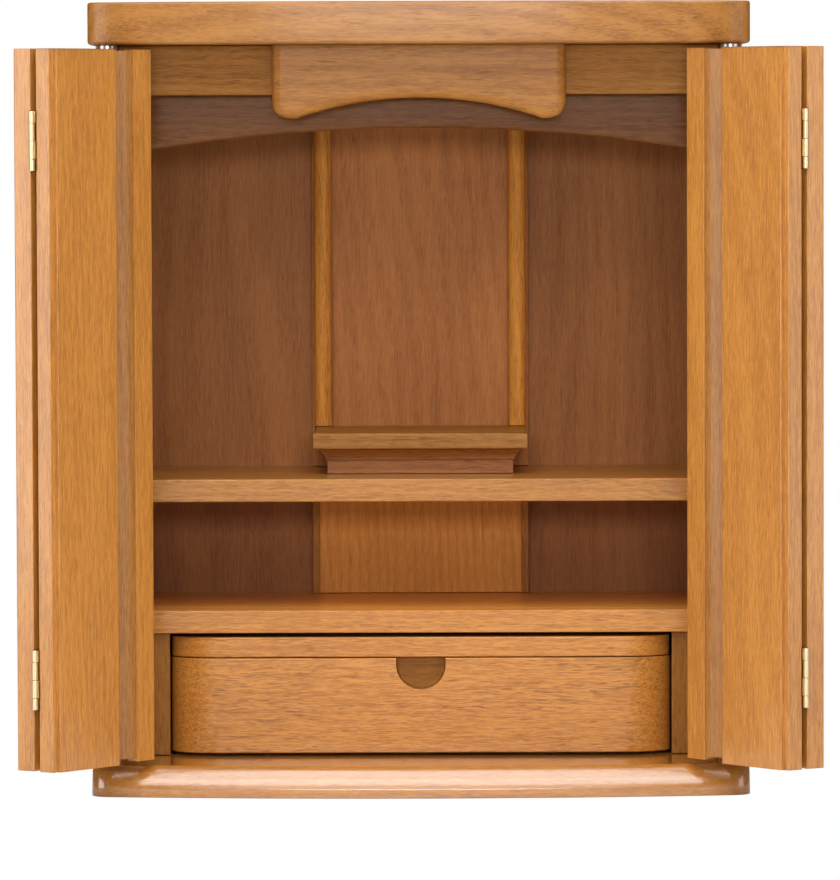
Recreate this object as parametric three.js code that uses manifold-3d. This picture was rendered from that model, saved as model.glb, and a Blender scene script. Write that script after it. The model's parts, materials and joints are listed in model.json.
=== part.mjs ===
// A household altar cabinet of brown lacquered oak, standing open on its bowed base.
// Millimetres, +Z up, +X to the right, front towards -Y. The origin is the centre of the underside.
import * as THREE from 'three';
import { mergeVertices } from 'three/addons/utils/BufferGeometryUtils.js';
import Module from 'manifold-3d';

const wasm = await Module();
wasm.setup();

// ---- Driving dimensions -------------------------------------------------------------------
const GAP = 0.3; // left between two pieces that rest against each other
const PIVOT_DEPTH = -100; // the plane through both door pivots; depths count back from it
const depth = (behindPivots) => PIVOT_DEPTH + behindPivots;

const BODY_BACK = depth(230);
const BODY_HEIGHT = 540;
const BOW = { corner: depth(-12), centre: depth(-30) }; // front line of the top and the base
const BASE = { half: 224.5, height: 21.2, corner: { run: 13, back: 13 }, band: 6.4, lean: [14, 58] }; // lean: degrees
const TOP = { half: 225, bottom: 511.2, corner: { run: 36, back: 15 }, round: 2 };
const SIDE = { outer: 220, inner: 205, front: depth(12), round: 2 };
const BACK_PANEL = { front: depth(224), back: depth(229.7) };
const SHELF = { front: depth(54), thick: 15.8, mid: 212.8, lower: 122.1, round: 1.2 }; // heights of their tops

const CENTRE = { half: 77, front: depth(215), back: BACK_PANEL.front - GAP };
const PILLAR = { x: 69, radius: 6.3 };
const STRIP = { outer: 77, inner: 72, front: depth(211.7) };
const PEDESTAL = { half: 75, neck: 71, foot: 65, top: 242, board: 11.5, front: depth(104), step: 10 };

const RAIL = { bottom: 477.1, front: depth(20), back: depth(34.7) };
const ARCH = { front: depth(52), back: depth(67), crown: 454.3, radius: 1130, round: 4 };
const PLAQUE = { half: 100, front: depth(10), lobe: 10, bottom: 460.7, waist: 475, lobeX: 83, round: 6 };

const CHEEK = { inner: 173.5, front: depth(60), groove: { deep: 5.6, front: depth(66), back: depth(224) } };
const BOW_FRONT = { back: 22, run: 35 }; // how far the tray's and the drawer's rounded ends fall back
const TRAY = { half: 172.5, bottom: 89.5, top: 103.4, back: depth(215), tongue: { out: 5, front: depth(180) } };
const DRAWER = { half: 172.8, bottom: 23.2, top: 88.9, front: depth(54), board: 26, back: depth(214) };
const DRAWER_BOX = { outer: 170.5, wall: 10, bottom: BASE.height + GAP, top: 84, floor: 5 };
const NOTCH = { radius: 17, deep: 21.8, into: 14 };

const DOOR = { bottom: 25.2, top: 508.1, thick: 14.2, pivotX: 211.5, outer: 99.4, gap: 3, inner: 108.6 };
const SWING_DEG = 122.2; // from shut to the open pose that is modelled
const FOLD_DEG = 173.7; // how far the inner leaf folds back behind the outer one in that pose
const PROUD = 2.1; // how far the fold's pins stand off the back faces
// The inner leaf's section: where its parts begin, counted from its fold edge, and how high they stand
const REBATE = { edge: 12.1, floor: 12.3, wide: 5, slope: 1.2 };
const GROOVE = { start: 65, floor: 4, rise: 76, riseHigh: 7, headShort: 0.9, footShort: 2.5 };
const STRIP_EDGE = { start: 90, high: 8.2 };
const DISC_RADIUS = 6.5;
const HINGE = {
  height: 40, plate: 13, sheet: 0.9, sunk: 0.6, knuckle: 2, upper: 426.6, lower: 66.6, joints: [0, 8, 20, 32, 40],
};

// ---- Materials ----------------------------------------------------------------------------
const finish = (color, roughness, metalness = 0) => new THREE.MeshStandardMaterial({ color, roughness, metalness });
const OAK = finish(0xc98a45, 0.35);
const INNER_WOOD = finish(0x8f5a35, 0.4);
const DRAWER_LINING = finish(0xd9b78a, 0.6);
const BRASS = finish(0xe2c08a, 0.3, 1);
const STEEL = finish(0xb9bcc0, 0.25, 1);

// ---- Building blocks ----------------------------------------------------------------------
function named(name, geometry, material, parent) {
  const mesh = new THREE.Mesh(geometry, material);
  mesh.name = name;
  parent.add(mesh);
  return mesh;
}

/** A closed geometry with its shared vertices merged, ready for a boolean. */
function solid(geometry) {
  const bare = geometry.clone();
  bare.deleteAttribute('normal');
  bare.deleteAttribute('uv');
  const merged = mergeVertices(bare, 1e-4);
  return new wasm.Manifold(new wasm.Mesh({
    numProp: 3,
    vertProperties: merged.attributes.position.array,
    triVerts: Uint32Array.from(merged.index.array),
  }));
}

/** The result of a boolean as a three.js geometry again. */
function geometryOf(manifold) {
  const { vertProperties, triVerts } = manifold.getMesh();
  const geometry = new THREE.BufferGeometry();
  geometry.setAttribute('position', new THREE.BufferAttribute(vertProperties, 3));
  geometry.setIndex(new THREE.BufferAttribute(triVerts, 1));
  geometry.computeVertexNormals();
  return geometry;
}

/** A box between two corners. */
function block([x0, y0, z0], [x1, y1, z1]) {
  const box = new THREE.BoxGeometry(Math.abs(x1 - x0), Math.abs(y1 - y0), Math.abs(z1 - z0));
  return box.translate((x0 + x1) / 2, (y0 + y1) / 2, (z0 + z1) / 2);
}

/** A plan outline raised from z0 to z1, its upper and lower edges rounded over by round. */
function board(shape, z0, z1, round = 0, curveSegments = 12) {
  const geometry = new THREE.ExtrudeGeometry(shape, {
    depth: z1 - z0 - 2 * round,
    bevelEnabled: round > 0,
    bevelThickness: round,
    bevelSize: round,
    bevelOffset: -round,
    bevelSegments: 3,
    curveSegments,
  });
  return geometry.translate(0, 0, z0 + round);
}

/** An upright face outline, drawn in X and Z, carried back from y0 to y1, its front edge rounded over. */
function upright(shape, y0, y1, round = 0, curveSegments = 24) {
  const geometry = new THREE.ExtrudeGeometry(shape, {
    depth: y1 - y0 - 2 * round,
    bevelEnabled: round > 0,
    bevelThickness: round,
    bevelSize: round,
    bevelOffset: -round,
    bevelSegments: 3,
    curveSegments,
  });
  return geometry.rotateX(Math.PI / 2).translate(0, y1 - round, 0);
}

/** A rectangle in plan with its two front corners rounded. */
function frontRounded(x0, x1, front, back, radius) {
  const shape = new THREE.Shape();
  shape.moveTo(x0, back);
  shape.lineTo(x0, front + radius);
  shape.absarc(x0 + radius, front + radius, radius, Math.PI, 1.5 * Math.PI);
  shape.absarc(x1 - radius, front + radius, radius, 1.5 * Math.PI, 2 * Math.PI);
  shape.lineTo(x1, back);
  shape.closePath();
  return shape;
}

/** The plan of the top and of the base: square at the back, one long arc at the front, its ends turned back. */
function bowedPlan(half, { run, back }) {
  const sagitta = BOW.corner - BOW.centre;
  const radius = (half ** 2 + sagitta ** 2) / (2 * sagitta);
  const centreY = BOW.centre + radius;
  const runX = half - run;
  const runAngle = Math.asin(runX / radius);
  const shape = new THREE.Shape();
  shape.moveTo(half, BODY_BACK);
  shape.lineTo(-half, BODY_BACK);
  shape.lineTo(-half, BOW.corner + back);
  const frontY = centreY - radius * Math.cos(runAngle);
  shape.quadraticCurveTo(-half, BOW.corner, -runX, frontY);
  shape.absarc(0, centreY, radius, 1.5 * Math.PI - runAngle, 1.5 * Math.PI + runAngle);
  shape.quadraticCurveTo(half, BOW.corner, half, BOW.corner + back);
  shape.closePath();
  return shape;
}

/** The plan of the tray and of the drawer front: straight in the middle, the ends falling back on an ellipse. */
function roundEndedPlan(half, front, back) {
  const straight = half - BOW_FRONT.run;
  const shape = new THREE.Shape();
  shape.moveTo(half, back);
  shape.lineTo(-half, back);
  shape.lineTo(-half, front + BOW_FRONT.back);
  shape.absellipse(-straight, front + BOW_FRONT.back, BOW_FRONT.run, BOW_FRONT.back, Math.PI, 1.5 * Math.PI);
  shape.absellipse(straight, front + BOW_FRONT.back, BOW_FRONT.run, BOW_FRONT.back, 1.5 * Math.PI, 2 * Math.PI);
  shape.closePath();
  return shape;
}

/** Rings of equal length, from the lowest up, skinned and capped into one closed geometry. */
function skinned(rings) {
  const count = rings[0].length;
  const positions = rings.flat().flatMap((point) => point.toArray());
  const index = [];
  for (let ring = 0; ring + 1 < rings.length; ring += 1) {
    for (let i = 0; i < count; i += 1) {
      const a = ring * count + i;
      const b = ring * count + ((i + 1) % count);
      index.push(a, b, b + count, a, b + count, a + count);
    }
  }
  const cap = (ring, flipped) => {
    const flat = rings[ring].map((point) => new THREE.Vector2(point.x, point.y));
    for (const [a, b, c] of THREE.ShapeUtils.triangulateShape(flat, [])) {
      const corners = flipped ? [a, c, b] : [a, b, c];
      index.push(...corners.map((i) => ring * count + i));
    }
  };
  cap(0, true);
  cap(rings.length - 1, false);
  const geometry = new THREE.BufferGeometry();
  geometry.setAttribute('position', new THREE.Float32BufferAttribute(positions, 3));
  geometry.setIndex(index);
  return geometry;
}

/** The points of a closed plan once round, anticlockwise. */
function planPoints(shape, divisions) {
  const points = shape.getPoints(divisions);
  if (points[0].distanceTo(points[points.length - 1]) < 1e-6) {
    points.pop();
  }
  return THREE.ShapeUtils.isClockWise(points) ? points.reverse() : points;
}

// ---- The carcass --------------------------------------------------------------------------
const cabinet = new THREE.Group();

/** The base: a low upright band, above it a rounded slope that leans back from the bowed front to the flat top. */
function makeBase() {
  const plan = planPoints(bowedPlan(BASE.half, BASE.corner), 14);
  const ring = (setBack, z) => plan.map(({ x, y }) => (
    new THREE.Vector3(x, y + (y < BODY_BACK - 1 ? setBack : 0), z)
  ));
  const rings = [ring(1, 0), ring(0, 1.2), ring(0, BASE.band)];
  const [first, last] = BASE.lean.map(THREE.MathUtils.degToRad);
  const radius = (BASE.height - BASE.band) / (Math.sin(last) - Math.sin(first));
  const steps = 6;
  for (let i = 1; i <= steps; i += 1) {
    const lean = first + (last - first) * (i / steps);
    const setBack = radius * (Math.cos(first) - Math.cos(lean));
    rings.push(ring(setBack, BASE.band + radius * (Math.sin(lean) - Math.sin(first))));
  }
  named('base_board', skinned(rings), OAK, cabinet);
}

function makeTop() {
  named('top_board', board(bowedPlan(TOP.half, TOP.corner), TOP.bottom, BODY_HEIGHT, TOP.round, 20), OAK, cabinet);
}

function makeSidesAndBack() {
  for (const [side, word] of [[-1, 'left'], [1, 'right']]) {
    const [x0, x1] = [side * SIDE.inner, side * SIDE.outer].sort((a, b) => a - b);
    const plan = frontRounded(x0, x1, SIDE.front, BODY_BACK, SIDE.round);
    named(`side_panel_${word}`, board(plan, BASE.height + GAP, TOP.bottom - GAP, 0, 4), OAK, cabinet);
  }
  const half = SIDE.inner - GAP;
  named('back_panel', block([-half, BACK_PANEL.front, BASE.height + GAP], [half, BACK_PANEL.back, TOP.bottom - GAP]),
    INNER_WOOD, cabinet);
}

/** The two fixed shelves, straight across from side to side. */
function makeShelves() {
  const half = SIDE.inner - GAP;
  const plan = new THREE.Shape([
    new THREE.Vector2(-half, SHELF.front),
    new THREE.Vector2(half, SHELF.front),
    new THREE.Vector2(half, BACK_PANEL.front - GAP),
    new THREE.Vector2(-half, BACK_PANEL.front - GAP),
  ]);
  named('mid_shelf', board(plan, SHELF.mid - SHELF.thick, SHELF.mid, SHELF.round), OAK, cabinet);
  named('lower_shelf', board(plan, SHELF.lower - SHELF.thick, SHELF.lower, SHELF.round), OAK, cabinet);
}

/** The raised middle of the back: a board in each bay, pillars above and flat strips below. */
function makeCentre() {
  const lowerTop = SHELF.mid - SHELF.thick - GAP;
  const panel = (z0, z1) => block([-CENTRE.half, CENTRE.front, z0], [CENTRE.half, CENTRE.back, z1]);
  named('centre_panel_upper', panel(SHELF.mid + GAP, TOP.bottom - GAP), INNER_WOOD, cabinet);
  named('centre_panel_lower', panel(SHELF.lower + GAP, lowerTop), INNER_WOOD, cabinet);
  for (const [side, word] of [[-1, 'left'], [1, 'right']]) {
    const height = TOP.bottom - PEDESTAL.top - 2 * GAP;
    const pillar = new THREE.CylinderGeometry(PILLAR.radius, PILLAR.radius, height, 24).rotateX(Math.PI / 2);
    pillar.translate(side * PILLAR.x, CENTRE.front - GAP - PILLAR.radius, PEDESTAL.top + GAP + height / 2);
    named(`pillar_${word}`, pillar, OAK, cabinet);
    const strip = block([side * STRIP.inner, STRIP.front, SHELF.lower + GAP],
      [side * STRIP.outer, CENTRE.front - GAP, lowerTop]);
    named(`strip_${word}`, strip, OAK, cabinet);
  }
}

/** The pedestal on the middle shelf: a board on a plinth that spreads in a hollow under it. */
function makePedestal() {
  const back = CENTRE.front - GAP;
  const boardBottom = PEDESTAL.top - PEDESTAL.board;
  const plan = new THREE.Shape([
    new THREE.Vector2(-PEDESTAL.half, PEDESTAL.front),
    new THREE.Vector2(PEDESTAL.half, PEDESTAL.front),
    new THREE.Vector2(PEDESTAL.half, back),
    new THREE.Vector2(-PEDESTAL.half, back),
  ]);
  named('pedestal_board', board(plan, boardBottom, PEDESTAL.top, 1.5), OAK, cabinet);

  const ring = (spread, z) => {
    const half = PEDESTAL.foot + spread;
    const front = PEDESTAL.front + PEDESTAL.step - spread;
    return [[-half, front], [half, front], [half, back], [-half, back]].map(([x, y]) => new THREE.Vector3(x, y, z));
  };
  const foot = SHELF.mid + GAP;
  const high = boardBottom - GAP - foot;
  const rings = [ring(0, foot), ring(0, foot + 0.55 * high), ring(1.2, foot + 0.58 * high)];
  const spread = PEDESTAL.neck - PEDESTAL.foot;
  for (const t of [0.25, 0.5, 0.75, 1]) {
    rings.push(ring(1.2 + (spread - 1.2) * (1 - Math.cos((t * Math.PI) / 2)), foot + high * (0.58 + 0.42 * t)));
  }
  named('pedestal_plinth', skinned(rings), OAK, cabinet);
}

/** The rail under the top, the arched board behind it and the plaque in front of it. */
function makeHeader() {
  const half = SIDE.inner - GAP;
  const top = TOP.bottom - GAP;
  named('front_rail', block([-half, RAIL.front, RAIL.bottom], [half, RAIL.back, top]), OAK, cabinet);

  const arch = new THREE.Shape();
  const reach = Math.asin(half / ARCH.radius);
  const centreZ = ARCH.crown - ARCH.radius;
  arch.moveTo(half, top);
  arch.lineTo(-half, top);
  arch.absarc(0, centreZ, ARCH.radius, Math.PI / 2 + reach, Math.PI / 2 - reach, true);
  arch.closePath();
  // the round-over belongs to the arched edge alone, so the board's own ends are trimmed square again
  const archSolid = solid(upright(arch, ARCH.front, ARCH.back, ARCH.round, 20));
  const square = solid(block([-half, ARCH.front, ARCH.crown], [half, ARCH.back, top]));
  named('arch_board', geometryOf(archSolid.add(square)), OAK, cabinet);

  const plaque = new THREE.Shape();
  const { lobe, lobeX, bottom, waist } = PLAQUE;
  const lobeZ = bottom + lobe;
  const riseX = lobeX - lobe * 0.2;
  const riseZ = bottom + lobe * 0.12;
  const rise = waist - riseZ;
  const waistRadius = (riseX ** 2 + rise ** 2) / (2 * rise);
  const waistAngle = Math.asin(riseX / waistRadius);
  plaque.moveTo(PLAQUE.half, top);
  plaque.lineTo(-PLAQUE.half, top);
  plaque.lineTo(-PLAQUE.half, lobeZ + 2);
  plaque.quadraticCurveTo(-PLAQUE.half, bottom, -lobeX - 2, bottom);
  plaque.quadraticCurveTo(-lobeX, bottom, -riseX, riseZ);
  plaque.absarc(0, waist - waistRadius, waistRadius, Math.PI / 2 + waistAngle, Math.PI / 2 - waistAngle, true);
  plaque.quadraticCurveTo(lobeX, bottom, lobeX + 2, bottom);
  plaque.quadraticCurveTo(PLAQUE.half, bottom, PLAQUE.half, lobeZ + 2);
  plaque.closePath();
  const back = RAIL.front - GAP;
  const bevelled = new THREE.ExtrudeGeometry(plaque, {
    depth: back - PLAQUE.front,
    bevelEnabled: true,
    bevelThickness: PLAQUE.round,
    bevelSize: PLAQUE.round,
    bevelOffset: -PLAQUE.round,
    bevelSegments: 4,
    curveSegments: 8,
  }).rotateX(Math.PI / 2).translate(0, back, 0);
  const keep = block([-PLAQUE.half - 1, PLAQUE.front, bottom - 1], [PLAQUE.half + 1, back, top]);
  const forward = solid(bevelled.translate(0, PLAQUE.round, 0));
  named('plaque', geometryOf(forward.intersect(solid(keep))), OAK, cabinet);
}

/** The walls beside the drawer, each with a stopped groove that carries the tray. */
function makeCheeks() {
  for (const [side, word] of [[-1, 'left'], [1, 'right']]) {
    const wall = block([side * CHEEK.inner, CHEEK.front, BASE.height + GAP],
      [side * (SIDE.inner - GAP), BACK_PANEL.front - GAP, SHELF.lower - SHELF.thick - GAP]);
    const { deep, front, back } = CHEEK.groove;
    const groove = block([side * (CHEEK.inner - 1), front, TRAY.bottom - GAP],
      [side * (CHEEK.inner + deep), back, TRAY.top + GAP]);
    named(`bay_cheek_${word}`, geometryOf(solid(wall).subtract(solid(groove))), OAK, cabinet);
  }
}

// ---- What slides --------------------------------------------------------------------------
function makeTray() {
  const plan = roundEndedPlan(TRAY.half, SHELF.front, TRAY.back);
  const leaf = solid(board(plan, TRAY.bottom, TRAY.top, 1, 8));
  const half = TRAY.half + TRAY.tongue.out;
  const tongues = solid(block([-half, TRAY.tongue.front, TRAY.bottom + 1], [half, TRAY.back - 1, TRAY.top - 1]));
  named('tray', geometryOf(leaf.add(tongues)), OAK, cabinet);
}

/** The drawer: a thick bowed front with a blind finger notch, and a plain box behind it. */
function makeDrawer() {
  const frontBack = DRAWER.front + DRAWER.board;
  const front = solid(board(roundEndedPlan(DRAWER.half, DRAWER.front, frontBack), DRAWER.bottom, DRAWER.top, 1, 8));
  const straight = NOTCH.deep - NOTCH.radius;
  const notch = new THREE.Shape();
  notch.moveTo(-NOTCH.radius, DRAWER.top + 1);
  notch.lineTo(-NOTCH.radius, DRAWER.top - straight);
  notch.absarc(0, DRAWER.top - straight, NOTCH.radius, Math.PI, 2 * Math.PI);
  notch.lineTo(NOTCH.radius, DRAWER.top + 1);
  notch.closePath();
  const cutter = solid(upright(notch, DRAWER.front - 1, DRAWER.front + NOTCH.into, 0, 16));
  named('drawer_front', geometryOf(front.subtract(cutter)), OAK, cabinet);

  const { outer, wall, bottom, top, floor } = DRAWER_BOX;
  const y0 = frontBack + GAP;
  const y1 = DRAWER.back;
  for (const [side, word] of [[-1, 'left'], [1, 'right']]) {
    named(`drawer_side_${word}`, block([side * outer, y0, bottom], [side * (outer - wall), y1, top]),
      DRAWER_LINING, cabinet);
  }
  const half = outer - wall - GAP;
  named('drawer_back', block([-half, y1 - wall, bottom], [half, y1, top]), DRAWER_LINING, cabinet);
  named('drawer_floor', block([-half, y0, bottom], [half, y1 - wall - GAP, bottom + floor]), DRAWER_LINING, cabinet);
}

// ---- The folding doors --------------------------------------------------------------------
// Each door is drawn shut, as the left one: x runs from its pivot to the middle of the cabinet.
// The right one is its mirror image, so every x is multiplied by inward = +1 (left) or -1 (right).
const backFace = DOOR.thick / 2;
const foldX = DOOR.outer + DOOR.gap / 2;
const foldY = backFace + PROUD;

/** The outer leaf in plan: a half-round hinge edge about the pivot, a softened edge at the fold. */
function outerLeafPlan(inward) {
  const r = DOOR.thick / 2;
  const points = [];
  const steps = 10;
  for (let i = 0; i <= steps; i += 1) {
    const angle = Math.PI / 2 + (Math.PI * i) / steps;
    points.push([r * Math.cos(angle), r * Math.sin(angle)]);
  }
  const soft = 1.6;
  points.push([DOOR.outer - soft, -r], [DOOR.outer - soft * 0.3, -r + soft * 0.3], [DOOR.outer, -r + soft]);
  points.push([DOOR.outer, r - 0.6], [DOOR.outer - 0.6, r]);
  return new THREE.Shape(points.map(([x, y]) => new THREE.Vector2(inward * x, y)));
}

/**
 * The inner leaf in plan: a rebate along the fold edge, a flat face, a sharp drop into a finger groove
 * that rises in a swelling curve, and a thin closing strip. x counts from the leaf's fold edge,
 * high from its back face.
 */
function innerLeafPlan(inward) {
  const { start, floor, rise, riseHigh } = GROOVE;
  const section = [[0.6, 0], [0, 0.6], [0, REBATE.edge - 0.5], [0.5, REBATE.edge]];
  section.push([REBATE.wide, REBATE.floor], [REBATE.wide + REBATE.slope, DOOR.thick]);
  section.push([start, DOOR.thick], [start + 1, floor + 1], [start + 2, floor], [rise, floor]);
  const steps = 5;
  for (let i = 1; i <= steps; i += 1) {
    const t = i / steps;
    section.push([rise + (STRIP_EDGE.start - rise) * t, floor + (riseHigh - floor) * Math.sin((t * Math.PI) / 2)]);
  }
  section.push([STRIP_EDGE.start, STRIP_EDGE.high], [DOOR.inner - 1.5, STRIP_EDGE.high]);
  section.push([DOOR.inner, STRIP_EDGE.high - 1.5], [DOOR.inner, 0.6], [DOOR.inner - 0.6, 0]);
  const edge = DOOR.gap / 2;
  return new THREE.Shape(section.map(([x, high]) => new THREE.Vector2(inward * (edge + x), -PROUD - high)));
}

/** The inner leaf, whose grooved moulding stops short of the ends. */
function innerLeaf(inward) {
  const x0 = inward * (DOOR.gap / 2 + GROOVE.start);
  const x1 = inward * (DOOR.gap / 2 + STRIP_EDGE.start);
  const [front, back] = [-PROUD - DOOR.thick - 1, -PROUD + 1];
  const head = block([x0, front, DOOR.top - GROOVE.headShort], [x1, back, DOOR.top + 1]);
  const foot = block([x0, front, DOOR.bottom - 1], [x1, back, DOOR.bottom + GROOVE.footShort]);
  return solid(board(innerLeafPlan(inward), DOOR.bottom, DOOR.top)).subtract(solid(head)).subtract(solid(foot));
}

/** One half of a butt hinge about its pin on the local origin; its sheet is let into the leaf's back face. */
function hingeHalf(along, segments, z0) {
  const { sheet, sunk, knuckle, plate, height, joints } = HINGE;
  const clear = knuckle + GAP;
  const low = -PROUD - sunk;
  let half = solid(block([along * clear, low, z0], [along * (clear + plate), low + sheet, z0 + height]));
  for (const segment of segments) {
    const foot = z0 + joints[segment] + (segment ? 0.2 : 0);
    const head = z0 + joints[segment + 1];
    const barrel = new THREE.CylinderGeometry(knuckle, knuckle, head - foot, 16).rotateX(Math.PI / 2);
    half = half.add(solid(barrel.translate(0, 0, (foot + head) / 2)));
    half = half.add(solid(block([0, low, foot], [along * (clear + 1), low + sheet, head])));
    half = half.add(solid(block([0, low, foot], [along * knuckle * 0.7, -knuckle * 0.5, head])));
  }
  return geometryOf(half);
}

/** A leaf whose back face is cut with a shallow bed for each hinge's sheet. */
function cutForHinges(leaf, along, faceY, pinX) {
  let body = leaf;
  for (const z0 of [HINGE.upper, HINGE.lower]) {
    const bedEnd = pinX + along * (HINGE.knuckle + HINGE.plate + 2 * GAP);
    const bed = block([pinX, faceY - HINGE.sunk - GAP, z0 - GAP], [bedEnd, faceY + 1, z0 + HINGE.height + GAP]);
    body = body.subtract(solid(bed));
  }
  return geometryOf(body);
}

/** The metal disc that a leaf turns on, above or below its half-round edge. */
function pivotDisc(z0, z1) {
  const disc = new THREE.CylinderGeometry(DISC_RADIUS, DISC_RADIUS, z1 - z0, 24).rotateX(Math.PI / 2);
  return disc.translate(0, 0, (z0 + z1) / 2);
}

function makeDoor(side, word) {
  const inward = -side;
  const outer = new THREE.Group();
  outer.position.set(side * DOOR.pivotX, PIVOT_DEPTH, 0);
  outer.rotation.z = THREE.MathUtils.degToRad(-inward * SWING_DEG);
  cabinet.add(outer);
  const outerLeaf = solid(board(outerLeafPlan(inward), DOOR.bottom, DOOR.top));
  const pinX = inward * foldX;
  named(`outer_leaf_${word}`, cutForHinges(outerLeaf, -inward, backFace, pinX), OAK, outer);
  named(`pivot_disc_upper_${word}`, pivotDisc(DOOR.top + GAP, TOP.bottom - GAP), STEEL, outer);
  named(`pivot_disc_lower_${word}`, pivotDisc(BASE.height + GAP, DOOR.bottom - GAP), STEEL, outer);

  const inner = new THREE.Group();
  inner.position.set(pinX, foldY, 0);
  inner.rotation.z = THREE.MathUtils.degToRad(inward * FOLD_DEG);
  outer.add(inner);
  named(`inner_leaf_${word}`, cutForHinges(innerLeaf(inward), inward, -PROUD, 0), OAK, inner);

  for (const [z0, place] of [[HINGE.upper, 'upper'], [HINGE.lower, 'lower']]) {
    const outerHalf = hingeHalf(-inward, [0, 2], z0).translate(pinX, foldY, 0);
    named(`hinge_${place}_${word}_outer`, outerHalf, BRASS, outer);
    named(`hinge_${place}_${word}_inner`, hingeHalf(inward, [1, 3], z0), BRASS, inner);
  }
}

makeBase();
makeTop();
makeSidesAndBack();
makeShelves();
makeCentre();
makePedestal();
makeHeader();
makeCheeks();
makeTray();
makeDrawer();
makeDoor(-1, 'left');
makeDoor(1, 'right');

export default cabinet;
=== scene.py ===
"""Looks of a household altar cabinet: brown lacquered oak, folding doors, brass hinges, studio light."""
import json
import math

import bmesh
import bpy
import numpy as np
from mathutils import Matrix, Vector


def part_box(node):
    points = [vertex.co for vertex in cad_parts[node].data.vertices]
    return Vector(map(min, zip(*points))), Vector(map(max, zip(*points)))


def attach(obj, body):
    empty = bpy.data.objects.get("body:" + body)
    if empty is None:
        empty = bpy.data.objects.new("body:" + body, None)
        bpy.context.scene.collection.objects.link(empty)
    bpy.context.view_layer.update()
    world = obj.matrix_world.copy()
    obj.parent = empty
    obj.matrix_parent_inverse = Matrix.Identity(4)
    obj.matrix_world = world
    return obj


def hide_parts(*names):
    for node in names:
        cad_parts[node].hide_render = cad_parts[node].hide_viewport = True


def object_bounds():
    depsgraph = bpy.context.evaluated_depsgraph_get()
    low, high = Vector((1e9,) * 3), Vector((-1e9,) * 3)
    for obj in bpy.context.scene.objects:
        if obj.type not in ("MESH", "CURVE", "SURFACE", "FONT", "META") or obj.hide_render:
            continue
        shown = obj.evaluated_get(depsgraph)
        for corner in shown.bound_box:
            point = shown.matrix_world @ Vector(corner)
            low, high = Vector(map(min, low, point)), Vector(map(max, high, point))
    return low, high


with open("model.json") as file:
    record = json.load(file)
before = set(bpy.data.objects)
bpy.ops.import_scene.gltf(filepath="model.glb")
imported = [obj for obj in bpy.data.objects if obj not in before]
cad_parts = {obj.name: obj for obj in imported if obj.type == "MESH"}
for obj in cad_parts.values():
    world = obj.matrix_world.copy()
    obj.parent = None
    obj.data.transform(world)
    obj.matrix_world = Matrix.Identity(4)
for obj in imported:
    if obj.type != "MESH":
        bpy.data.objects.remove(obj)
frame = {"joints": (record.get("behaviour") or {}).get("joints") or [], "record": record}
cad_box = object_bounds()
joints = {joint["name"]: joint for joint in frame["joints"]}
bodies = frame["record"]["behaviour"]["bodies"]
body_of_node = {node: body for body, members in bodies.items() for node in members}

MM = 0.001
FRONT_BOW = 18 * MM  # how far the middle of the top's and the base's front stands before their corners
BASE_BAND = 6.4 * MM  # the height of the upright band at the base's foot
BASE_LEAN = np.radians((14, 58))  # how far the slope above the band leans back, at its foot and at its head
END_BACK, END_RUN = 22 * MM, 35 * MM  # the ellipse that rounds the ends of the tray and of the drawer
NOTCH_RADIUS, NOTCH_DEEP, NOTCH_INTO = 17 * MM, 21.8 * MM, 14 * MM  # the drawer's finger notch
ARCH_RADIUS, ARCH_CROWN = 1130 * MM, 454.3 * MM  # the arched board's lower edge, and how high its middle is
LOBE_RADIUS, LOBE_X, WAIST_RISE = 10 * MM, 83 * MM, 14.3 * MM  # the plaque's lobes, and its arch above them
DOOR_THICK = 14.2 * MM
FOLD_GAP = 3 * MM  # between the edges of a door's two leaves, laid flat
PROUD = 2.1 * MM  # how far the fold's pins stand off the leaves' back faces
KNUCKLE = 2 * MM  # the radius of the hinges' knuckles
KNUCKLE_ENDS = np.array((0, 8, 20, 32, 40)) * MM  # where the four knuckles of a hinge begin and end
SHEET, SUNK, SHEET_WIDE = 0.9 * MM, 0.6 * MM, 13 * MM  # the hinges' sheets, and how deep they are let in
PIVOT_Y = joints["door_left_swing"]["pos_m"][1]
MERGE = 1e-6  # points closer than this are one
SHARP = math.radians(28)  # edges that turn by more than this stay crisp
SENSOR = 36  # the width of the camera's sensor, in millimetres


# ---- Camera, floor and light --------------------------------------------------------------
def camera(lens, distance, side, height, down, roll):
    """A camera at a distance in front of the door pivots; lens is its focal length in millimetres."""
    data = bpy.data.cameras.new("camera")
    data.sensor_width = SENSOR
    data.lens = lens
    data.clip_end = 50
    thing = bpy.data.objects.new("camera", data)
    bpy.context.scene.collection.objects.link(thing)
    aim = Matrix.Rotation(math.atan2(side, distance), 4, "Z") @ Matrix.Rotation(math.pi / 2 - down, 4, "X")
    place = Matrix.Translation((side, PIVOT_Y - distance, height))
    thing.matrix_world = place @ aim @ Matrix.Rotation(roll, 4, "Z")
    bpy.context.scene.camera = thing


def softbox(name, place, target, size, brightness):
    """A white rectangular light of size (width, height) that faces its target."""
    data = bpy.data.lights.new(name, "AREA")
    data.shape = "RECTANGLE"
    data.size, data.size_y = size
    data.energy = brightness * math.pi * size[0] * size[1]
    thing = bpy.data.objects.new(name, data)
    bpy.context.scene.collection.objects.link(thing)
    thing.location = place
    thing.rotation_euler = (Vector(target) - Vector(place)).to_track_quat("-Z", "Y").to_euler()


def white_to_camera(tree, shader, output):
    """The camera sees plain white; everything else sees the shader that was there."""
    path = tree.nodes.new("ShaderNodeLightPath")
    white = tree.nodes.new("ShaderNodeEmission")
    white.inputs["Color"].default_value = (1, 1, 1, 1)
    choice = tree.nodes.new("ShaderNodeMixShader")
    tree.links.new(path.outputs["Is Camera Ray"], choice.inputs[0])
    tree.links.new(shader, choice.inputs[1])
    tree.links.new(white.outputs[0], choice.inputs[2])
    tree.links.new(choice.outputs[0], output)


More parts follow.
